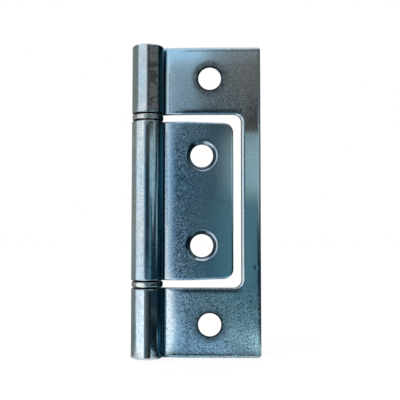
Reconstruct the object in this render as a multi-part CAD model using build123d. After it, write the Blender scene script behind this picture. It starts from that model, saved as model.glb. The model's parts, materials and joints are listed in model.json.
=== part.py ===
from build123d import *
import os
from math import acos, atan2, cos, degrees, radians, sin, tan

# A flush hinge: a door leaf nested in the window of a frame leaf, both rolled round one pin.
# Millimetres. +Z runs up the pin, +X from the pin to the leaves' free edges, +Y into the leaves from
# the frame leaf's seat. The origin lies on that seat, midway between the frame leaf's screw holes.

# Sheet and pin
sheet = 1.5
pin_diameter = 4.76
pin_end_recess = 0.3
pin_end_chamfer = 0.35

# Clearances round and along the pin
grip_clearance = 0.01
running_clearance = 0.05
washer_clearance = 0.10
axial_gap = 0.15

# Rolled knuckles
ease_start = 9.0
ease_radius = 20.0
ease_angle = 13.0
roll_slit = 0.22
roll_end_break = 0.3

# Frame leaf
frame_height = 76.2
frame_reach = 27.75
frame_corner_radius = 0.8
frame_edge_rounding = 0.5
frame_rim_break = 0.28
window_height = 42.5
window_reach = 22.95
window_corner_radius = 1.9
frame_screw_reach = 15.25
frame_screw_inset = 7.95

# Door leaf
door_reach = 21.05
door_free_height = 38.05
door_shoulder_offset = 0.8
door_shoulder_radius = 40.0
door_corner_radius = 2.4
door_edge_rounding = 0.25
door_rim_break = 0.28
door_screw_reach = 13.3
door_screw_spacing = 22.1

# Screw holes
screw_hole_diameter = 5.6
countersink_diameter = 7.3
countersink_angle = 90.0
countersink_rim_diameter = 7.9
countersink_rim_depth = 0.12
seat_dish_diameter = 8.6
seat_dish_depth = 0.07

# Washers
washer_thickness = 1.5
washer_diameter = 7.65
washer_edge_break = 0.4

# Worked out from the values above
pin_radius = pin_diameter / 2
frame_screw_spacing = frame_height - 2 * frame_screw_inset
door_knuckle_length = window_height - 2 * washer_thickness - 4 * axial_gap
seat_datum = Pos(-frame_screw_reach, sheet / 2, 0)


def omega_section(reach, bore):
    """The sheet's section as two faces: the flat leaf with its bend, and the roll round the pin.

    A wide easing arc leads from the flat into the bend, which runs back behind the pin. The bend's arc
    touches the roll's arc, so its radius follows from where it starts. The roll closes in front of the
    pin, where its outer corner stands one slit off the bend.
    """
    roll = bore + sheet
    middle = bore + sheet / 2
    lean = Vector(sin(radians(ease_angle)), cos(radians(ease_angle)))
    ease_centre = Vector(ease_start, ease_radius)
    bend_start = ease_centre - ease_radius * lean
    bend = (bend_start.dot(bend_start) - middle**2) / (2 * (middle - bend_start.dot(lean)))
    bend_centre = bend_start + bend * lean
    spacing = bend_centre.length
    touch = degrees(atan2(bend_centre.Y, bend_centre.X))
    clear_of_bend = bend + sheet / 2 + roll_slit
    end = touch - degrees(acos((roll**2 + spacing**2 - clear_of_bend**2) / (2 * roll * spacing)))
    turn = 360 + end - touch

    def bent_face(side):
        offset = side * sheet / 2
        return [
            Line((reach, -offset), (ease_start, -offset)),
            CenterArc(ease_centre, ease_radius + offset, 270, -ease_angle),
            CenterArc(bend_centre, bend + offset, 270 - ease_angle, touch + ease_angle - 90),
        ]

    def across_roll(angle):
        direction = Vector(cos(radians(angle)), sin(radians(angle)))
        return Line(bore * direction, roll * direction)

    free_edge = Line((reach, sheet / 2), (reach, -sheet / 2))
    leaf = make_face([*bent_face(1), across_roll(touch), *bent_face(-1), free_edge])
    knuckle = make_face(
        [
            across_roll(touch),
            CenterArc((0, 0), roll, touch, turn),
            across_roll(end),
            CenterArc((0, 0), bore, touch, turn),
        ]
    )
    end_corner = knuckle.vertices().sort_by_distance(across_roll(end) @ 1)[0]
    return leaf, chamfer(end_corner, roll_end_break)


def through_sheet(outline):
    """A cutter or blank with this outline, seen from the seat side, deep enough to pass the knuckles."""
    return extrude(Plane.XZ * outline, pin_diameter + 2 * sheet, both=True)


def screw_holes(reach, spacing, sunk_side, profile):
    """Two holes in line with the pin: a profile turned about each hole's axis, heights from one face."""
    face = Plane((reach, sunk_side * sheet / 2, 0), x_dir=(1, 0, 0), z_dir=(0, sunk_side, 0))
    tool = face * revolve(Plane.XZ * Polygon(*profile, align=None), Axis.Z)
    return [Pos(0, 0, side * spacing / 2) * tool for side in (-1, 1)]


def countersunk_profile():
    """Half of a countersunk hole: a broken rim, a cone and a straight wall through the rest."""
    hole, sink, rim = screw_hole_diameter / 2, countersink_diameter / 2, countersink_rim_diameter / 2
    cone_depth = (sink - hole) / tan(radians(countersink_angle / 2))
    return [
        (0, 0),
        (rim, 0),
        (sink, -countersink_rim_depth),
        (hole, -countersink_rim_depth - cone_depth),
        (hole, -2 * sheet),
        (0, -2 * sheet),
    ]


def dished_profile():
    """Half of a hole's mouth on the seat side, where punching drew the sheet in a little."""
    hole, dish = screw_hole_diameter / 2, seat_dish_diameter / 2
    return [(0, 0), (dish, 0), (hole, -seat_dish_depth), (0, -seat_dish_depth)]


def front_rim(leaf):
    """The edges round the leaf's flat front face, without the line where the easing begins."""
    faces = leaf.faces().filter_by(Axis.Y)
    front = min(faces, key=lambda face: face.center().Y)
    return [edge for edge in front.outer_wire().edges() if edge.center().X > ease_start + sheet]


def knuckle_rims(leaf, roll):
    """The outer edges at the ends of the rolled knuckles."""
    arcs = leaf.edges().filter_by(GeomType.CIRCLE)
    return [arc for arc in arcs if abs(arc.radius - roll) < 1e-6 and arc.length > roll]


def make_frame_leaf():
    """The C-shaped leaf, with a knuckle above and below the window."""
    bore = pin_radius + grip_clearance
    section = omega_section(frame_reach, bore)
    flat, roll = (extrude(face, frame_height / 2, both=True) for face in section)
    blank = Rectangle(2 * frame_reach, frame_height)
    flat &= through_sheet(fillet(blank.vertices().group_by(Axis.X)[-1], frame_corner_radius))
    window = Rectangle(2 * window_reach, window_height)
    window = through_sheet(fillet(window.vertices().group_by(Axis.X)[-1], window_corner_radius))
    flat -= window
    roll -= window
    flat = fillet(front_rim(flat), frame_edge_rounding)
    flat -= screw_holes(frame_screw_reach, frame_screw_spacing, 1, countersunk_profile())
    flat -= screw_holes(frame_screw_reach, frame_screw_spacing, -1, dished_profile())
    leaf = flat + roll
    return chamfer(knuckle_rims(leaf, bore + sheet), frame_rim_break)


def make_door_leaf():
    """The nested leaf: one long knuckle, and a flat that narrows a little towards its free edge."""
    bore = pin_radius + running_clearance
    section = omega_section(door_reach, bore)
    flat, roll = (extrude(face, door_knuckle_length / 2, both=True) for face in section)
    root, free = door_knuckle_length / 2, door_free_height / 2
    shoulder = ease_start + door_shoulder_offset
    half = [(shoulder, root), (door_reach, free)]
    blank = Polygon((0, root), *half, *[(x, -z) for x, z in half[::-1]], (0, -root), align=None)
    blank = fillet(blank.vertices().group_by(Axis.X)[1], door_shoulder_radius)
    flat &= through_sheet(fillet(blank.vertices().group_by(Axis.X)[-1], door_corner_radius))
    flat = fillet(front_rim(flat), door_edge_rounding)
    flat -= screw_holes(door_screw_reach, door_screw_spacing, -1, countersunk_profile())
    leaf = flat + roll
    return chamfer(knuckle_rims(leaf, bore + sheet), door_rim_break)


def make_hinge_pin():
    """A plain rod, set back a little in the frame leaf's knuckles, with broken ends."""
    pin = Cylinder(pin_radius, frame_height - 2 * pin_end_recess)
    return chamfer(pin.edges().filter_by(GeomType.CIRCLE), pin_end_chamfer)


def make_washer(side):
    """A ring with broken outer edges, between the middle knuckle and the one above (+1) or below (-1)."""
    height = door_knuckle_length / 2 + axial_gap + washer_thickness / 2
    ring = Cylinder(washer_diameter / 2, washer_thickness)
    ring = chamfer(ring.edges().filter_by(GeomType.CIRCLE), washer_edge_break)
    ring -= Cylinder(pin_radius + washer_clearance, washer_thickness)
    return Pos(0, 0, side * height) * ring


pieces = {
    "frame_leaf": make_frame_leaf(),
    "door_leaf": make_door_leaf(),
    "hinge_pin": make_hinge_pin(),
    "upper_washer": make_washer(1),
    "lower_washer": make_washer(-1),
}

os.makedirs("parts", exist_ok=True)
for name, piece in pieces.items():
    export_step(seat_datum * piece, f"parts/{name}.step")
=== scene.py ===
import json

import bpy
import numpy as np
from mathutils import Matrix, Vector
from mathutils.geometry import delaunay_2d_cdt


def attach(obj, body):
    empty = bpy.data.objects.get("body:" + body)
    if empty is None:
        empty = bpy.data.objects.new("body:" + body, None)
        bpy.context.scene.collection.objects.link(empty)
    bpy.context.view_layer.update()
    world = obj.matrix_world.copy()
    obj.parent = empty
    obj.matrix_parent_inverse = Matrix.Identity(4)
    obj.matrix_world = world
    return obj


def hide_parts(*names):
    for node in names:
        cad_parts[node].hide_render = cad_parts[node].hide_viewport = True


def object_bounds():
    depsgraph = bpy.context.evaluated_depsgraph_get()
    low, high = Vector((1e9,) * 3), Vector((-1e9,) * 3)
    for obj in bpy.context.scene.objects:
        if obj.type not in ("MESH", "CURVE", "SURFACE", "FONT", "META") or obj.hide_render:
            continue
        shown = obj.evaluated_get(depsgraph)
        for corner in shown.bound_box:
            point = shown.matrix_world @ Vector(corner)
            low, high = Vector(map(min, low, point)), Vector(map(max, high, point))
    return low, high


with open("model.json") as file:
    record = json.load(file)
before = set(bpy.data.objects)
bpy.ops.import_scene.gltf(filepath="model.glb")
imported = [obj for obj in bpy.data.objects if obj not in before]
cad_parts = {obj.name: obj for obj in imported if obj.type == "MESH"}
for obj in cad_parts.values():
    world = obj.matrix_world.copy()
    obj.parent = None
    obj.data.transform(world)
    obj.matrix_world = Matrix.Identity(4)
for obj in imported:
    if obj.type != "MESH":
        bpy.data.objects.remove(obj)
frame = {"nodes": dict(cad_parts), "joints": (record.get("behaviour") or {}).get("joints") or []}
cad_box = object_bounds()

# Frame leaf. One C-shaped stamping of 1.5 mm steel sheet, bright zinc plated with a faint blue cast.
# Both of its arms are rolled round the pin into knuckles of omega section, and it is screwed to the
# door frame through two holes, which are countersunk on the far side and drawn in a little on this one.
MM = 0.001
PIN_AXIS = np.array(frame["joints"][0]["pos_m"]) / MM

sheet = 1.5
pin_radius = 2.38
ease_start = 9.0
ease_radius = 20.0
ease_angle = np.radians(13.0)
roll_slit = 0.22
point_spacing = 0.6
roll_stretch = 2.4
rounding_rows = 7
hole_steps = 72


def roll_sizes(bore):
    """Radii of roll and bend, the bend's centre, and the unrolled distances where bend, roll and sheet end.

    A wide easing arc leads from the flat into the bend. The bend's arc starts at p with normal n and touches
    the roll's arc, so its radius is (p.p - roll^2) / (2 (roll - p.n)). The roll turns on round the pin until
    one slit is left before the bend.
    """
    roll = bore + sheet / 2
    lean = np.array([np.sin(ease_angle), np.cos(ease_angle)])
    start = np.array([ease_start, ease_radius]) - ease_radius * lean
    bend = (start @ start - roll**2) / (2 * (roll - start @ lean))
    centre = start + bend * lean
    apart, outside, clear = np.hypot(*centre), roll + sheet / 2, bend + sheet / 2 + roll_slit
    turn = 2 * np.pi - np.arccos((outside**2 + apart**2 - clear**2) / (2 * outside * apart))
    bend_from = ease_start - ease_radius * ease_angle
    roll_from = bend_from - bend * (np.arctan2(*centre) - ease_angle)
    return roll, bend, centre, bend_from, roll_from, roll_from - roll * turn


def omega_path(s, bore):
    """Middle line of the sheet at the unrolled distance s: points, directions of growing s, and normals.

    The heading a is 0 on the flat, grows along the easing and the bend, and falls again along the roll. The
    normal is n = (sin a, cos a) and the direction (cos a, -sin a) all along. The points are (s, 0) on the
    flat, the arc's centre minus its radius times n on the easing and the bend, and roll n on the roll.
    """
    roll, bend, centre, bend_from, roll_from, _ = roll_sizes(bore)
    a = np.clip(ease_start - s, 0, ease_start - bend_from) / ease_radius
    a += np.clip(bend_from - s, 0, bend_from - roll_from) / bend - np.maximum(roll_from - s, 0) / roll
    along = np.stack([np.cos(a), -np.sin(a)], -1)
    normal = np.stack([np.sin(a), np.cos(a)], -1)
    eased = (ease_start, ease_radius) - ease_radius * normal
    eased[..., 0] += np.maximum(s - ease_start, 0)
    bent = np.where((s > bend_from)[..., None], eased, centre - bend * normal)
    return np.where((s > roll_from)[..., None], bent, roll * normal), along, normal


def rounded_line(corners, radii, spacing, closed):
    """A line through corners with an arc in each: points, and normals to the right of the way it runs.

    Each arc starts radius * tan(turn / 2) before its corner. Straight runs get a point every spacing.
    """
    corners = np.asarray(corners, float)
    ways = np.diff(corners, axis=0, append=corners[:1])
    ways /= np.linalg.norm(ways, axis=1, keepdims=True)
    comes = np.roll(ways, 1, 0)
    if not closed:
        ways[-1], comes[0] = ways[-2], ways[0]
    points, normals = [], []
    for corner, way_in, way_out, radius in zip(corners, comes, ways, radii):
        turn = np.arctan2(way_in[0] * way_out[1] - way_in[1] * way_out[0], way_in @ way_out)
        steps = 0 if abs(turn) < 1e-6 else max(4, int(abs(turn) * max(radius, 1.0) / spacing * 2))
        angle = np.arctan2(way_in[1], way_in[0]) + np.linspace(0, turn, steps + 1)
        right = np.stack([np.sin(angle), -np.cos(angle)], -1)
        start = corner - way_in * radius * np.tan(abs(turn) / 2)
        points.append(start + np.sign(turn) * radius * (right - right[0]))
        normals.append(right)
    runs = []
    for i, arc in enumerate(points):
        runs.append((arc, normals[i]))
        if closed or i + 1 < len(points):
            far = points[(i + 1) % len(points)][0]
            share = np.linspace(0, 1, max(1, int(np.linalg.norm(far - arc[-1]) / spacing)) + 1)[1:-1, None]
            runs.append((arc[-1] + share * (far - arc[-1]), np.repeat(normals[i][-1:], len(share), 0)))
    return np.concatenate([r[0] for r in runs]), np.concatenate([r[1] for r in runs])


def stretched(s):
    """The roll drawn longer than it is, so that one point spacing suits the flat and the roll."""
    return np.where(s < ease_start, ease_start + (s - ease_start) * roll_stretch, s)


def unstretched(u):
    """The unrolled distance of a place in the stretched drawing."""
    return np.where(u < ease_start, ease_start + (u - ease_start) / roll_stretch, u)


def cut_edge(corners, radii, front_rounding, back_rounding):
    """The cut edge of an outline, in rows from front to back: a quarter round, a wall and a quarter round.

    A rounding is a quarter ellipse of width w along the face and depth d through the sheet: its points are
    w (1 - sin q) in from the outline and d (1 - cos q) from the face, and its normal is (d sin q, w cos q).
    Row values are the outline's points and outward directions, the distance in from the outline, the height
    through the sheet, and the shares of outward direction and sheet normal in the surface's own normal.
    """
    drawn = [(float(stretched(np.array(s))), z) for s, z in corners]
    line, outward = rounded_line(drawn, radii, point_spacing, True)
    quarter = np.linspace(0, np.pi / 2, rounding_rows)[:, None]
    rows = []
    for side, rounding, q in ((-1, front_rounding, quarter), (1, back_rounding, quarter[::-1])):
        width, depth = rounding(unstretched(line[:, 0]), line[:, 1])
        normal = np.stack([depth * np.sin(q), side * width * np.cos(q)])
        height = side * (sheet / 2 - depth * (1 - np.cos(q)))
        rows.append([width * (1 - np.sin(q)), height, *normal / np.hypot(*normal)])
    return line, outward, *np.concatenate(rows, axis=1)


def drilled_edge(centre, radius, corners, radii):
    """A hole's wall in the same rows: a profile carried round a circle.

    The profile's corners are (distance in from the hole's wall, height through the sheet).
    """
    turn = np.linspace(0, -2 * np.pi, hole_steps + 1)[:-1]
    spoke = np.stack([np.cos(turn), np.sin(turn)], -1)
    profile, right = rounded_line(corners, radii, point_spacing, False)
    ones = np.ones(len(turn))
    rows = [np.outer(column, ones) for column in (*profile.T, *right.T)]
    return centre + radius * spoke, -spoke, rows[0], rows[1], rows[2], -rows[3]


def inside(points, loops):
    """Whether each point lies in the region that closed loops bound, by counting crossings to one side."""
    hit = np.zeros(len(points), bool)
    for loop in loops:
        a, b = loop, np.roll(loop, -1, 0)
        spans = (a[:, 1] > points[:, 1:]) != (b[:, 1] > points[:, 1:])
        rise = np.where(a[:, 1] == b[:, 1], 1.0, b[:, 1] - a[:, 1])
        cross = a[:, 0] + (points[:, 1:] - a[:, 1]) * (b[:, 0] - a[:, 0]) / rise
        hit ^= ((spans & (points[:, :1] < cross)).sum(1) % 2).astype(bool)
    return hit


def face_triangles(loops):
    """Points and triangles that fill a face between its loops, on a lattice of one point spacing.

    Lattice points too close to a loop are left out, and so are thin triangles and those outside the face.
    """
    rim = np.concatenate(loops)
    low, high = rim.min(0), rim.max(0)
    counts = np.ceil((high - low) / point_spacing).astype(int)
    lines = [np.linspace(*ends) for ends in zip(low, high, counts)]
    lattice = np.stack(np.meshgrid(*lines), -1).reshape(-1, 2)
    lattice = lattice[inside(lattice, loops)]
    too_close = 0.55 * point_spacing
    gap = np.full(len(lattice), np.inf)
    for part in np.array_split(rim, 8):
        gap = np.minimum(gap, np.hypot(*(lattice[:, None] - part).transpose(2, 0, 1)).min(1))
    points = np.concatenate([rim, lattice[gap > too_close]])
    counts = np.array([len(loop) for loop in loops])
    ends = np.cumsum(counts)
    on = np.arange(1, len(rim) + 1)
    on[ends - 1] -= counts
    edges = np.stack([np.arange(len(rim)), on], -1)
    made = delaunay_2d_cdt(points.tolist(), edges.tolist(), [], 0, 1e-7)
    names = np.fromiter(map(min, made[3]), int)
    triangles = names[np.array(made[2])]
    corners = points[triangles]
    flat = np.cross(corners[:, 1] - corners[:, 0], corners[:, 2] - corners[:, 0])
    triangles = np.where((flat < 0)[:, None], triangles[:, ::-1], triangles)
    return points, triangles[inside(corners.mean(1), loops) & (abs(flat) > 1e-9)]


def rolled_sheet(edges, bore, bow):
    """A closed sheet from its edge rows: both faces, filled between the edges, and the edges themselves.

    A point at unrolled distance s, height z and height h through the sheet is at
    middle(s) + (h + bow(s, z)) normal(s), so the whole sheet follows the bow.
    """
    values, quads, rims, count = [], [], ([], []), 0
    for line, outward, inset, height, out, through in edges:
        rows, around = inset.shape
        place = line - outward * inset[..., None]
        sides = np.broadcast_to(outward, place.shape)
        values.append(np.dstack([place, sides, height, out, through]).reshape(-1, 7))
        grid = count + np.arange(rows * around).reshape(rows, around)
        beside = np.roll(grid, -1, 1)
        quads.append(np.stack([grid[:-1], grid[1:], beside[1:], beside[:-1]], -1).reshape(-1, 4))
        for rim, row in zip(rims, (0, -1)):
            rim.append((place[row], grid[row]))
        count += rows * around
    triangles = []
    for rim, side in zip(rims, (-1, 1)):
        points, faces = face_triangles([line for line, _ in rim])
        names = np.concatenate([ids for _, ids in rim])
        added = points[len(names):]
        names = np.concatenate([names, count + np.arange(len(added))])
        fill = np.zeros((len(added), 7))
        fill[:, :2], fill[:, 4], fill[:, 6] = added, side * sheet / 2, side
        values.append(fill)
        triangles.append(names[faces[:, ::-side]])
        count += len(added)
    u, z, out_s, out_z, height, out, through = np.concatenate(values).T
    s = unstretched(u)
    middle, along, normal = omega_path(s, bore)
    step = 0.05
    lift = bow(s, z)
    slope_s = (bow(s + step, z) - bow(s - step, z)) / (2 * step)
    slope_z = (bow(s, z + step) - bow(s, z - step)) / (2 * step)
    points = np.column_stack([middle + (height + lift)[:, None] * normal, z])
    tilt_s = out * out_s - through * slope_s
    tilt_z = out * out_z - through * slope_z
    normals = np.column_stack([tilt_s[:, None] * along + through[:, None] * normal, tilt_z])
    return points, normals, [*np.concatenate(quads).tolist(), *np.concatenate(triangles).tolist()]


def metal_piece(name, points, normals, faces, material, body, slot, node):
    """A finished piece that stands for a solid, from points in millimetres about the pin's axis."""
    mesh = bpy.data.meshes.new(name)
    mesh.from_pydata((points + PIN_AXIS) * MM, [], faces, shade_flat=False)
    mesh.normals_split_custom_set_from_vertices(normals / np.linalg.norm(normals, axis=1, keepdims=True))
    mesh.materials.append(material)
    piece = bpy.data.objects.new(name, mesh)
    bpy.context.scene.collection.objects.link(piece)
    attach(piece, body)
    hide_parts(node)


class Finish:
    """One socket of a finish's nodes. Arithmetic on it adds Math nodes, and node() adds any other."""

    def __init__(self, tree, socket=None):
        self.tree, self.socket = tree, socket

    def node(self, kind, settings, sockets, output=0):
        made = self.tree.nodes.new("ShaderNode" + kind)
        for key, value in settings.items():
            setattr(made, key, value)
        for key, value in sockets.items():
            if isinstance(value, Finish):
                self.tree.links.new(value.socket, made.inputs[key])
            else:
                made.inputs[key].default_value = value
        return Finish(self.tree, made.outputs[output] if made.outputs else None)

    def maths(self, operation, a, b=0.0):
        return self.node("Math", {"operation": operation}, {0: a, 1: b})

    def __add__(self, other):
        return self.maths("ADD", self, other)

    def __sub__(self, other):
        return self.maths("SUBTRACT", self, other)

    def __rsub__(self, other):
        return self.maths("SUBTRACT", other, self)

    def __mul__(self, other):
        return self.maths("MULTIPLY", self, other)

    def __abs__(self):
        return self.maths("ABSOLUTE", self)

    __radd__, __rmul__ = __add__, __mul__


def new_finish(name):
    """A material with an empty node tree: the material, and a Finish to build its nodes from."""
    material = bpy.data.materials.new(name)
    material.use_nodes = True
    material.node_tree.nodes.clear()
    return material, Finish(material.node_tree)


def zinc_plate(
    name, blue, grey, roughness, haze, speckle, grain_size, grain_height,
    crowd=None, marks_and_shade=None, slit=(3.7, 0.75, 1.15),
):
    """Bright zinc on steel: a blue passivation that greys away from the pin, and a grain of matt crystals.

    Rolling has burnished and streaked the knuckles, so the plate is smoother there than on the flats, by the
    haze. Painted shade darkens the seams beside the washers, and a teal painted shade fills the groove
    between
    knuckle and leaf: slit is that groove's distance off the pin, and the half-widths of its dark middle and
    of the whole. Crowd gives the share of matt crystals from the place on the leaf. The second function gives
    the front's tone and relief there: painted shade, and knocks and a darkening in blotches where there are
    any.
    """
    material, f = new_finish(name)
    place = f.node("TexCoord", {}, {}, "Object")
    across, depth, height = (f.node("SeparateXYZ", {}, {"Vector": place}, axis) for axis in "XYZ")

    def ramp(value, start, end, low=0.0, high=1.0):
        ends = {"From Min": start * MM, "From Max": end * MM, "To Min": low, "To Max": high}
        return f.node("MapRange", {}, {"Value": value, **ends})

    off_pin = across - PIN_AXIS[0] * MM
    flat = ramp(off_pin, 3.5, 8.0)
    # Painted shade: the seams beside the washers go dark, as where shade falls between parts.
    seam_levels = (19.52, 21.18)
    seams = [abs(abs(height) - level * MM) for level in seam_levels]
    seam_shade = f.maths("MAXIMUM", ramp(f.maths("MINIMUM", *seams), 0.10, 0.42, 0.06), flat)
    # Painted shade, tinted teal, in the groove between knuckle and leaf, on the front only.
    groove = ramp(abs(off_pin - slit[0] * MM), *slit[1:])
    groove = f.maths("MAXIMUM", groove, ramp(depth, 0.5, 1.5))
    drift = f.node("TexNoise", {}, {"Vector": place, "Scale": 70.0, "Detail": 2.0})
    blotch = f.node("TexNoise", {}, {"Vector": place, "Scale": 900.0, "Detail": 3.0})
    crystals = f.node("TexVoronoi", {}, {"Vector": place, "Scale": 1 / grain_size}, "Color")
    matt, dark = (f.node("SeparateColor", {}, {"Color": crystals}, channel) for channel in ("Red", "Green"))
    matt = f.node("MapRange", {}, {"Value": matt, "From Min": 0.35, "From Max": 1.0})
    dark = f.node("MapRange", {}, {"Value": dark, "From Min": 0.6, "From Max": 1.0, "To Max": 0.45})
    crowded = ramp(off_pin, 5.8, 8.5, 0.4)
    tone, relief = 1.0, 0.0
    if crowd:
        crowded = crowded * crowd(f, off_pin, height, ramp)
    if marks_and_shade:
        front = ramp(depth, 0.9, 1.3, 1.0, 0.0)
        tone, relief = (front * value for value in marks_and_shade(f, off_pin, height, blotch, ramp))
        tone = tone + (1 - front)
    drawn = f.node("Mapping", {}, {"Vector": place, "Scale": (1, 1, 0.04)})
    streaks = f.node("TexNoise", {}, {"Vector": drawn, "Scale": 2200.0, "Detail": 2.0}) - 0.5
    greyed = drift * (ramp(off_pin, 6.0, 20.0, 0.3, 1.6) + 1.2 * (1 - flat))
    tint = f.node("Mix", {"data_type": "RGBA"}, {"Factor": greyed, 6: (*blue, 1), 7: (*grey, 1)}, 2)
    level = (1 - dark * crowded) * seam_shade * tone * (1 + (0.35 * streaks + 0.5 * blotch - 0.25) * (1 - flat))
    # The teal tint of the painted shade in the groove.
    groove_shade_tint = {"Red": 0.08, "Green": 0.27, "Blue": 0.33}
    levels = {channel: level * (part + (1 - part) * groove) for channel, part in groove_shade_tint.items()}
    multiply = {"data_type": "RGBA", "blend_type": "MULTIPLY"}
    colour = f.node("Mix", multiply, {"Factor": 1.0, 6: tint, 7: f.node("CombineColor", {}, levels)}, 2)
    rough = roughness + haze * flat + speckle * matt * crowded + 0.04 * (drift - 0.5)
    relief = relief + matt * crowded + 0.6 * streaks * (1 - flat)
    bump = f.node("Bump", {}, {"Height": relief, "Distance": grain_height})
    surface = {"Base Color": colour, "Metallic": 1.0, "Roughness": rough, "Normal": bump}
    f.node("OutputMaterial", {}, {"Surface": f.node("BsdfPrincipled", {}, surface)})
    return material


grip_clearance = 0.01
frame_bore = pin_radius + grip_clearance
frame_height = 76.2
frame_reach = 27.75
frame_corner = 0.8
roll_corner = 0.5
window_height = 42.5
window_reach = 22.95
window_corner = 1.9
screw_reach = 15.25
screw_spacing = 60.3
hole_radius = 2.8
knuckle_to_flat = [3.0, 7.0]
broken_edge = 0.12
knock_depth = 14.0


def frame_front_rounding(s, z):
    """Width and depth: drawn in deep round the window, most on the upright, and less along the outside.

    The outside's edge narrows towards the corners, and the edges of the bores are only broken.
    """
    window = (s < window_reach + 0.1) & (abs(z) < window_height / 2 + 0.1)
    upright = np.interp(s, [window_reach - 1.2, window_reach - 0.2], [0, 1])
    from_corner = np.hypot(frame_reach - s, frame_height / 2 - abs(z))
    width = np.where(window, 0.90 + 0.15 * upright, np.interp(from_corner, [1.0, 3.0], [0.75, 1.0]))
    depth = np.where(window, 0.55 + 0.30 * upright, 0.36)
    flat = np.interp(s, knuckle_to_flat, [0, 1])
    return [broken_edge + flat * (size - broken_edge) for size in (width, depth)]


def frame_back_rounding(s, z):
    """A rounding on the knuckles' rims, which the sheet's back becomes, and less along the flat's back."""
    return 2 * [np.interp(s, knuckle_to_flat, [0.42, 0.25])]


def frame_bow(s, z):
    """How far the sheet stands back from its plane, in millimetres.

    The upper arm droops by droop (16 - s)^2 / 16 to its knuckle and by droop (z - 28)^2 / 14 to its upper
    edge. Both fade out along the roll.
    """
    droop = 0.06
    left = droop * np.clip(16 - s, 0, 8) ** 2 / 16 * np.clip((z - 18) / 4, 0, 1)
    over = droop * np.clip(z - 28, 0, None) ** 2 / 14
    return (left + over) * np.clip((s + 1) / 5, 0, 1)


def distance(f, along, up):
    """The distance that two offsets at right angles make."""
    return f.maths("SQRT", along * along + up * up)


def hole_offset(f, off_pin, height, reach, spacing):
    """Place relative to the nearer screw hole's axis: along the leaf, up, and the distance."""
    nearer = f.maths("SIGN", height) * (spacing / 2 * MM)
    along, up = off_pin - reach * MM, height - nearer
    return along, up, distance(f, along, up)


def frame_crowd(f, off_pin, height, ramp):
    """The grain is dense on the lower arm, thin on the upright, and middling by the window's upper edge."""
    low = ramp(height, -24.0, -19.0, 1.65, 0.3)
    high = ramp(abs(height - 23.0 * MM), 1.0, 9.0, 0.5, 0.0)
    return low + high + ramp(off_pin, 11.0, 19.0, 0.0, 0.4) * ramp(height, 18.0, 23.0)


def frame_marks_and_shade(f, off_pin, height, blotch, ramp):
    """Tone and relief on the front: painted shade, a darkening in blotches, and knocks.

    Painted shade lies in the screw holes and on their rims, along a line just under the upper edge, along the
    ledges by the window, and on the upper knuckle's right half, where it follows the strong blotches. Round
    the holes the tone is darker in blotches. Two knocks lie low on the upright, the second at its edge, each
    a cone of knock_depth grains.
    """
    from_hole = hole_offset(f, off_pin, height, screw_reach, screw_spacing)[-1]
    # Painted shade in the screw holes and on their rims; beyond them the tone is darker in blotches.
    rim = ramp(from_hole, 2.95, 3.35, 0.15)
    halo = 1 - (1 - ramp(from_hole, 3.0, 5.0)) * (1.7 * blotch - 0.3)
    relief = 0.0
    for reach, level, radius in ((26.6, -16.3, 0.75), (27.5, -20.8, 0.55)):
        from_knock = distance(f, off_pin - reach * MM, height - level * MM)
        relief = relief + ramp(from_knock, 0.0, radius, -knock_depth, 0.0)
    crease_level, ledge_level, ledge_middle = 37.15, 21.95, 15.5
    # Painted shade along a line just under the upper edge.
    crease_shade = ramp(abs(height - crease_level * MM), 0.06, 0.26, 0.5)
    crease_shade = f.maths("MAXIMUM", crease_shade, ramp(off_pin, 8.0, 13.0, 1.0, 0.0))
    # Painted shade along the ledges by the window.
    ledge_shade = ramp(abs(abs(height) - ledge_level * MM), 0.2, 0.85, 0.3)
    ledge_shade = f.maths("MAXIMUM", ledge_shade, ramp(abs(off_pin - ledge_middle * MM), 5.0, 8.0))
    # Painted shade on the upper knuckle's right half, broken up where the blotches are strong.
    knuckle_shade = ramp(off_pin, -0.2, 0.6) * ramp(off_pin, 2.6, 3.4, 1.0, 0.0) * ramp(height, 21.3, 22.0)
    strong = {"Value": blotch, "From Min": 0.46, "From Max": 0.60, "To Max": 0.6}
    knuckle_shade = knuckle_shade * f.node("MapRange", {}, strong)
    return rim * halo * crease_shade * ledge_shade * (1 - knuckle_shade), relief


roll_end = roll_sizes(frame_bore)[-1]
top, sill = frame_height / 2, window_height / 2
outline = [
    (roll_end, -top),
    (frame_reach, -top),
    (frame_reach, top),
    (roll_end, top),
    (roll_end, sill),
    (window_reach, sill),
    (window_reach, -sill),
    (roll_end, -sill),
]
outline_radii = [roll_corner, frame_corner, frame_corner, roll_corner]
outline_radii += [roll_corner, window_corner, window_corner, roll_corner]
hole_profile = [
    (2.4, -0.75),
    (1.5, -0.75),
    (0, -0.70),
    (0, -0.22),
    (0.42, 0.33),
    (0.90, 0.685),
    (1.08, 0.75),
    (1.8, 0.75),
]
hole_radii = [0, 2.0, 0.2, 0.1, 0.15, 0.2, 0.4, 0]
frame_edges = [cut_edge(outline, outline_radii, frame_front_rounding, frame_back_rounding)]
for z in (-screw_spacing / 2, screw_spacing / 2):
    frame_edges.append(drilled_edge((screw_reach, z), hole_radius, hole_profile, hole_radii))
frame_zinc = zinc_plate(
    "frame_zinc",
    blue=(0.38, 0.58, 0.76),
    grey=(0.60, 0.67, 0.71),
    roughness=0.10,
    haze=0.05,
    speckle=0.20,
    grain_size=0.23 * MM,
    grain_height=0.004 * MM,
    crowd=frame_crowd,
    marks_and_shade=frame_marks_and_shade,
)
metal_piece(
    "frame_leaf_sheet",
    *rolled_sheet(frame_edges, frame_bore, frame_bow),
    frame_zinc,
    "frame",
    "frame_zinc",
    "frame_leaf",
)

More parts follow.
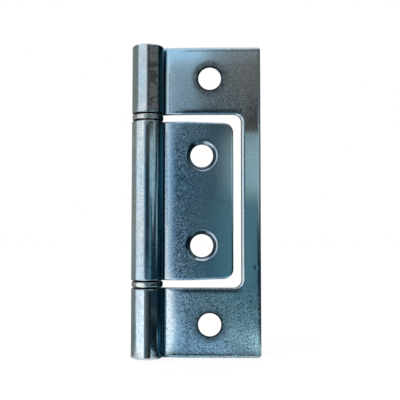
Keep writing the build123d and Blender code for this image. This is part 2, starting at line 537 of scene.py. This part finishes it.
# Hinge pin. A plain drawn steel rod, cut to length with its ends broken, and zinc plated like the leaves.
# The frame leaf's knuckles grip it, and the door leaf's knuckle turns on it.
pin_zinc = zinc_plate(
    "pin_zinc",
    blue=(0.52, 0.58, 0.62),
    grey=(0.60, 0.63, 0.65),
    roughness=0.28,
    haze=0,
    speckle=0.1,
    grain_size=0.30 * MM,
    grain_height=0.004 * MM,
)
for slot in frame["nodes"]["hinge_pin"].material_slots:
    slot.material = pin_zinc

# Door leaf. A smaller stamping of the same sheet and finish, which lies in the window of the frame leaf.
# Its one long knuckle turns on the pin, its flat narrows a little towards the free edge, and its two
# screw holes are countersunk on this side.
running_clearance = 0.05
door_bore = pin_radius + running_clearance
knuckle_length = 38.9
door_reach = 21.05
door_corner = 2.4
free_height = 38.05
shoulder_offset = 0.8
shoulder = ease_start + shoulder_offset
shoulder_radius = 40.0
door_screw_reach = 13.3
door_screw_spacing = 22.1
sink_rim = 3.95


def door_front_rounding(s, z):
    """Width and depth: a small drawn edge along the flat, and a broken edge in the knuckle's bore."""
    return [np.interp(s, knuckle_to_flat, [broken_edge, size]) for size in (0.55, 0.28)]


def door_back_rounding(s, z):
    """A rounding on the knuckle's rims and along the flat's back."""
    return 2 * [np.interp(s, knuckle_to_flat, [0.38, 0.25])]


def door_bow(s, z):
    """How far the sheet stands off its plane: nowhere, because the door leaf lies flat."""
    return 0 * s


def door_crowd(f, off_pin, height, ramp):
    """The grain is dense by the knuckle, thins to the free edge, and is worn off in the countersinks."""
    from_hole = hole_offset(f, off_pin, height, door_screw_reach, door_screw_spacing)[-1]
    return ramp(off_pin, 9.0, 16.0, 1.45, 0.3) * ramp(from_hole, 3.8, 4.3)


def door_marks_and_shade(f, off_pin, height, blotch, ramp):
    """Painted shade in the screw holes, on the countersinks' outer rims, and on the upper left of each
    countersink's cone.
    """
    along, up, from_hole = hole_offset(f, off_pin, height, door_screw_reach, door_screw_spacing)
    # Painted shade in the screw holes.
    bore = ramp(from_hole, 2.8, 3.05, 0.3)
    # Painted shade on the countersinks' outer rims.
    rim = ramp(abs(from_hole - sink_rim * MM), 0.08, 0.26, 0.6)
    # Painted shade on the upper left of each countersink's cone.
    countersink_shade = ramp(up - along, 0.0, 3.5) * ramp(from_hole, 3.65, 3.95, 0.8, 0.0)
    return bore * rim * (1 - countersink_shade), 0.0


roll_end = roll_sizes(door_bore)[-1]
root, free = knuckle_length / 2, free_height / 2
outline = [(roll_end, -root), (shoulder, -root), (door_reach, -free)]
outline += [(s, -z) for s, z in outline[::-1]]
outline_radii = [roll_corner, shoulder_radius, door_corner]
outline_radii += outline_radii[::-1]
sink_profile = [(1.8, -0.75), (1.22, -0.75), (0.86, -0.635), (0.45, -0.25), (0, 0.20), (0, 0.75), (0.6, 0.75)]
sink_radii = [0, 0.5, 0.3, 0.3, 0.1, 0.12, 0]
door_edges = [cut_edge(outline, outline_radii, door_front_rounding, door_back_rounding)]
for z in (-door_screw_spacing / 2, door_screw_spacing / 2):
    door_edges.append(drilled_edge((door_screw_reach, z), hole_radius, sink_profile, sink_radii))
door_zinc = zinc_plate(
    "door_zinc",
    blue=(0.34, 0.56, 0.77),
    grey=(0.59, 0.66, 0.70),
    roughness=0.10,
    haze=0.05,
    speckle=0.20,
    grain_size=0.23 * MM,
    grain_height=0.004 * MM,
    crowd=door_crowd,
    marks_and_shade=door_marks_and_shade,
    slit=(3.45, 0.5, 0.8),
)
metal_piece(
    "door_leaf_sheet",
    *rolled_sheet(door_edges, door_bore, door_bow),
    door_zinc,
    "door",
    "door_zinc",
    "door_leaf",
)

# Washers. Two turned steel rings, tumbled until their edges are round and then zinc plated. They sit on
# the pin between the knuckles and keep the plated rims from rubbing.
washer_thickness = 1.5
washer_radius = 3.825
washer_clearance = 0.1
washer_bore = pin_radius + washer_clearance
washer_steps = 96
rim_edge, bore_edge = 0.45, 0.15
section_spacing = 0.3
axial_gap = 0.15


def turned(profile, normals, rise):
    """A closed profile of (radius, height) turned about the pin: points, normals and faces."""
    turn = np.linspace(0, 2 * np.pi, washer_steps + 1)[:-1, None]
    ring = np.stack([np.cos(turn) + 0 * profile[:, 0], np.sin(turn) + 0 * profile[:, 0]], -1)
    level = np.broadcast_to(profile[:, 1] + rise, ring.shape[:2])
    lean = np.broadcast_to(normals[:, 1], ring.shape[:2])
    points = np.dstack([ring * profile[:, :1], level]).reshape(-1, 3)
    outward = np.dstack([ring * normals[:, :1], lean]).reshape(-1, 3)
    grid = np.arange(len(points)).reshape(ring.shape[:2])
    on, up = np.roll(grid, -1, 0), np.roll(grid, -1, 1)
    faces = np.stack([grid, on, np.roll(on, -1, 1), up], -1).reshape(-1, 4)
    return points, outward, faces.tolist()


washer_zinc = zinc_plate(
    "washer_zinc",
    blue=(0.58, 0.64, 0.67),
    grey=(0.64, 0.67, 0.69),
    roughness=0.2,
    haze=0,
    speckle=0.1,
    grain_size=0.30 * MM,
    grain_height=0.003 * MM,
)
half = washer_thickness / 2
washer_corners = [(washer_bore, -half), (washer_radius, -half), (washer_radius, half), (washer_bore, half)]
washer_edges = [bore_edge, rim_edge, rim_edge, bore_edge]
washer_section = rounded_line(washer_corners, washer_edges, section_spacing, True)
for name, side in (("upper", 1), ("lower", -1)):
    rise = side * (knuckle_length / 2 + axial_gap + half)
    metal_piece(
        name + "_washer_ring",
        *turned(*washer_section, rise),
        washer_zinc,
        "frame",
        "washer_zinc",
        name + "_washer",
    )

# Studio. A pale paper floor under a white sky, with one large soft lamp on the left. Cloths hang round the
# hinge and close before it, where only the metal shows them. They stand for the windows, walls and dark
# corners of a room, which bright zinc mirrors.
scene = bpy.context.scene
floor_level = cad_box[0].z
floor_reach = 4.0
floor_whiteness = 0.85


def stage_piece(name, points, faces, material):
    """A thing of the studio, which isn't part of the hinge, from points in metres."""
    mesh = bpy.data.meshes.new(name)
    mesh.from_pydata(points, [], faces)
    mesh.materials.append(material)
    piece = bpy.data.objects.new(name, mesh)
    scene.collection.objects.link(piece)
    return piece


floor_paper, f = new_finish("floor_paper")
direct, glossy, through_glass = (
    f.node("LightPath", {}, {}, f"Is {kind} Ray") for kind in ("Camera", "Glossy", "Transmission")
)
seen = f.maths("MINIMUM", direct + glossy + through_glass, 1.0)
paper = f.node("BsdfDiffuse", {}, {"Color": (0.98, 0.98, 0.98, 1)})
white = f.node("Emission", {}, {"Color": (1, 1, 1, 1), "Strength": 1.0})
paper = f.node("MixShader", {}, {0: floor_whiteness * seen, 1: paper, 2: white})
f.node("OutputMaterial", {}, {"Surface": paper})
floor_corners = np.array([(-1, -1, 0), (1, -1, 0), (1, 1, 0), (-1, 1, 0)]) * floor_reach + (0, 0, floor_level)
stage_piece("floor", floor_corners, [(0, 1, 2, 3)], floor_paper)

scene.world = bpy.data.worlds.new("studio_white")
scene.world.use_nodes = True
scene.world.node_tree.nodes.clear()
w = Finish(scene.world.node_tree)
sky = w.node("Background", {}, {"Color": (1, 1, 1, 1), "Strength": 1.0})
w.node("OutputWorld", {}, {"Surface": sky})


def curtain(name, points, wide, patches, ground):
    """A sheet of studio cloth that only the metal shows, with soft-edged lighter and darker patches on it.

    It is a grid of points in millimetres, and wide gives their places on the cloth. Each patch is (from, to,
    softness) across the cloth, the same along it, and its tone. It is a smooth step up at one edge and down
    at the other, both ways, laid over the tone below it, of which the ground is the lowest.
    """
    rows, columns = points.shape[:2]
    grid = np.arange(rows * columns).reshape(rows, columns)
    faces = np.stack([grid[:-1, :-1], grid[:-1, 1:], grid[1:, 1:], grid[1:, :-1]], -1).reshape(-1, 4)
    material, f = new_finish(name + "_cloth")
    place = f.node("UVMap", {}, {})
    across, up = (f.node("SeparateXYZ", {}, {"Vector": place}, side) for side in "XY")

    def step(value, edge, soft):
        ends = {"Value": value, "From Min": edge - soft, "From Max": edge + soft}
        return f.node("MapRange", {"interpolation_type": "SMOOTHSTEP"}, ends)

    tone = (*ground, 1)
    for (left, right, side_soft), (low, high, end_soft), shade in patches:
        mask = step(across, left, side_soft) * (1 - step(across, right, side_soft))
        mask = mask * step(up, low, end_soft) * (1 - step(up, high, end_soft))
        tone = f.node("Mix", {"data_type": "RGBA"}, {"Factor": mask, 6: tone, 7: (*shade, 1)}, 2)
    # The cloth glows with its tones, so what the metal mirrors of it is painted reflection.
    f.node("OutputMaterial", {}, {"Surface": f.node("Emission", {}, {"Color": tone, "Strength": 1.0})})
    cloth = stage_piece(name, points.reshape(-1, 3) * MM, faces.tolist(), material)
    places = wide.reshape(-1, 2)[faces.ravel()].ravel().astype("f")
    cloth.data.uv_layers.new(name="cloth").uv.foreach_set("vector", places)
    cloth.visible_camera = cloth.visible_diffuse = cloth.visible_shadow = cloth.visible_transmission = False


# The surround is a ring of cloth. Places on it are the bearing from the pin, 0 towards the camera and
# growing to the right, in degrees, and the level.
surround_radius = 70
surround_top = 110
ground_level = floor_level / MM
cloth_foot = ground_level + 0.2
bearing, level = np.meshgrid(np.linspace(-180, 180, 181), np.linspace(cloth_foot, surround_top, 40))
surround_patches = [
    ((-200, -80, 6), (-80, 300, 8), (0.28, 0.29, 0.26)),  # dim wall far left
    ((-200, -80, 6), (-25, 31, 5), (0.345, 0.355, 0.315)),  # a lighter panel on it
    ((-22, -8, 5), (-80, 300, 8), (0.105, 0.22, 0.32)),  # blue dusk beside the window
    ((-3, 13, 3), (-26, 31, 5), (0.070, 0.122, 0.152)),  # dark place straight ahead
    ((-80, -19, 3), (-80, 300, 8), (1.12, 1.13, 1.10)),  # bright window on the left
    ((-80, -19, 3), (34, 300, 4), (0.93, 0.97, 0.98)),  # its cooler upper part
    ((-20, -14, 3), (-80, 300, 8), (0.38, 0.53, 0.66)),  # its blue border
    ((-12, 10, 6), (-80, -26, 3), (0.20, 0.32, 0.40)),  # low blue light ahead
    ((-80, -13, 4), (-80, -24, 4), (1.50, 1.47, 1.43)),  # warm light low in the window
    ((-80, -32, 4), (-80, -24, 4), (1.28, 1.25, 1.22)),  # and less of it to the left
    ((-17, 8, 5), (31, 300, 5), (0.42, 0.48, 0.50)),  # grey wall high ahead
    ((8, 82, 6), (33, 300, 3), (0.165, 0.16, 0.15)),  # brown wall high on the right
    ((-70, 14, 8), (62, 300, 5), (0.74, 0.94, 1.05)),  # pale blue ceiling
    ((14, 50, 8), (62.5, 300, 5), (0.30, 0.34, 0.36)),  # its dim right part
    ((18, 58, 5), (4, 26.5, 3.5), (0.43, 0.58, 0.60)),  # teal wall on the right
    ((42, 60, 4), (14, 31, 5), (0.41, 0.52, 0.54)),  # its upper end
    ((38, 49, 3), (-5, 16, 4), (0.45, 0.59, 0.62)),  # its lower end
    ((75, 85, 3), (8, 20, 5), (0.24, 0.36, 0.40)),  # teal strip far right
    ((68, 78, 3), (-14, 8, 7), (0.30, 0.50, 0.56)),  # a lighter one below it
    ((-200, -68, 6), (34, 300, 3), (0.28, 0.29, 0.26)),  # dim wall above the panel
    ((14, 30, 5), (-80, 3.5, 6), (0.105, 0.25, 0.30)),  # deep teal low on the right
    ((155, 200, 12), (-80, 300, 8), (0.34, 0.38, 0.40)),  # grey wall behind
]
turn = np.radians(bearing)
surround = PIN_AXIS + np.stack([np.sin(turn), -np.cos(turn), 0 * turn], -1) * surround_radius
surround[..., 2] = level
curtain("surround", surround, np.stack([bearing, level], -1), surround_patches, (0.014, 0.035, 0.048))

# The apron lies on the floor. Places on it are across and towards the camera, both a little askew.
apron_skew = 0.18
across, ahead = np.meshgrid(np.linspace(-90, 70, 81), np.linspace(-70, 70, 71))
apron_patches = [
    ((-300, -14, 4), (-300, 2, 5), (0.24, 0.27, 0.24)),  # dim behind the knuckles
    ((-14, 10, 5), (7, 300, 2.5), (0.46, 0.66, 0.80)),  # blue before the lower arm
    ((10, 40, 5), (13, 300, 3), (0.15, 0.28, 0.33)),  # deep teal before the upright
    ((12, 26, 4), (8, 45, 8), (0.72, 1.06, 1.12)),  # a bright place on it
    ((-300, -11.3, 3), (2, 300, 5), (1.60, 1.57, 1.52)),  # warm light before the knuckles
]
apron = np.dstack([across, -ahead, 0 * across + cloth_foot])
askew = np.stack([across + apron_skew * ahead, ahead + apron_skew * (across - PIN_AXIS[0])], -1)
curtain("apron", apron, askew, apron_patches, (0.008, 0.02, 0.03))

# The flag stands on edge before the lower arm, and darkens what the arm mirrors.
flag_side = -6.0
ahead, level = np.meshgrid([3, 21], [ground_level, -27])
flag = np.dstack([0 * ahead + flag_side, -ahead, level])
flag_patches = [((-5, 16, 3.5), (-80, -29.5, 2.5), (0.006, 0.014, 0.018))]
curtain("flag", flag, np.stack([ahead, level], -1), flag_patches, (0.045, 0.07, 0.085))


def near_cloth(name, ahead, foot, head, patches, ground):
    """A small upright cloth that far before the seat. Foot and head are its ends: a level and two sides."""
    level = np.array([foot[:1] * 2, head[:1] * 2])
    across = np.array([foot[1:], head[1:]])
    cloth = np.dstack([across, 0 * across - ahead, level])
    curtain(name, cloth, np.stack([across, level], -1), patches, ground)


# Slip, brow and line hang before the lower, upper and middle knuckle, and make their dark stripes.
slip_patches = [
    ((-20, -14.15, 0.6), (-80, 0, 1), (0.06, 0.075, 0.075)),
    ((-20, -15.4, 0.7), (-80, 0, 1), (0.30, 0.36, 0.37)),
]
slip_sides = (-15.95, -13.2)
slip_ends = [(level, *slip_sides) for level in (ground_level, -21.8)]
near_cloth("slip", 4.2, *slip_ends, slip_patches, (0.004, 0.010, 0.013))
brow_patches = [((-20, -15.33, 0.5), (-80, 80, 1), (0.95, 0.97, 0.96))]
near_cloth("brow", 4.75, (21.7, -16.5, -14.05), (39.5, -16.5, -14.05), brow_patches, (0.115, 0.105, 0.10))
line_patches = [
    ((-20, 0, 1), (9, 80, 5), (0.075, 0.068, 0.06)),
    ((-20, 0, 1), (-80, -15, 4), (0.09, 0.14, 0.17)),
]
near_cloth("line", 4.75, (-17.0, -15.45, -14.0), (18.5, -15.45, -14.3), line_patches, (0.02, 0.035, 0.05))

# The tapes are narrow blue strips that show as thin lines on the right of the knuckles, and the shade darkens
# the corner between the upper arm and the upright.
tape_width = 0.36
for name, foot, head in (
    ("lower_tape", (-6, -11.98), (17.5, -12.23)),
    ("upper_tape", (22.3, -11.47), (32.6, -11.47)),
):
    ends = [(*end, end[-1] + tape_width) for end in (foot, head)]
    near_cloth(name, 2.25, *ends, [], (0.25, 0.36, 0.45))
shade_patches = [
    ((-50, 50, 1), (-80, 18.2, 0.7), (0.30, 0.38, 0.40)),
    ((-50, 50, 1), (27.5, 80, 2.5), (0.165, 0.16, 0.15)),
    ((-50, 10.2, 1.2), (22.5, 80, 1), (0.165, 0.16, 0.15)),
]
near_cloth("shade", 10, (17.8, 8.5, 16), (31, 8.5, 16), shade_patches, (0.085, 0.075, 0.068))

# The foot is a pale strip on the floor that lights the leaf's lower edge.
foot_lift = 0.3
across, ahead = np.meshgrid([-10, 13], [-1.5, 0.5])
foot = np.dstack([across, -ahead, 0 * across + ground_level + foot_lift])
curtain("foot", foot, np.stack([across, ahead], -1), [], (0.65, 0.80, 0.82))

lamp = bpy.data.lights.new("soft_lamp", "AREA")
lamp.size = 0.5
lamp.energy = 2.0
soft_lamp = bpy.data.objects.new("soft_lamp", lamp)
soft_lamp.location = (-0.45, -0.35, 0.55)
soft_lamp.rotation_euler = Vector(soft_lamp.location).to_track_quat("Z", "Y").to_euler()
soft_lamp.visible_glossy = False
scene.collection.objects.link(soft_lamp)

# Camera. It looks square at the leaves from a little below the middle, pitched up three degrees. Its place
# and directions were solved together with the hinge's proportions.
camera = bpy.data.cameras.new("camera")
camera.sensor_width = 36.0
camera.lens = 57.6
camera.clip_start = 0.01
stand = np.array([-0.17, -156.12, -8.11])
right = np.array([0.9999, 0.0139, 0.0007])
ahead = np.array([-0.0140, 0.9985, 0.0525])
ahead /= np.linalg.norm(ahead)
right -= ahead * (right @ ahead)
right /= np.linalg.norm(right)
above = np.cross(right, ahead)
pose = np.eye(4)
pose[:3, :3] = np.column_stack([right, above, -ahead])
pose[:3, 3] = stand * MM
viewer = bpy.data.objects.new("camera", camera)
viewer.matrix_world = Matrix(pose.tolist())
scene.collection.objects.link(viewer)
scene.camera = viewer
scene.view_settings.view_transform = "Standard"
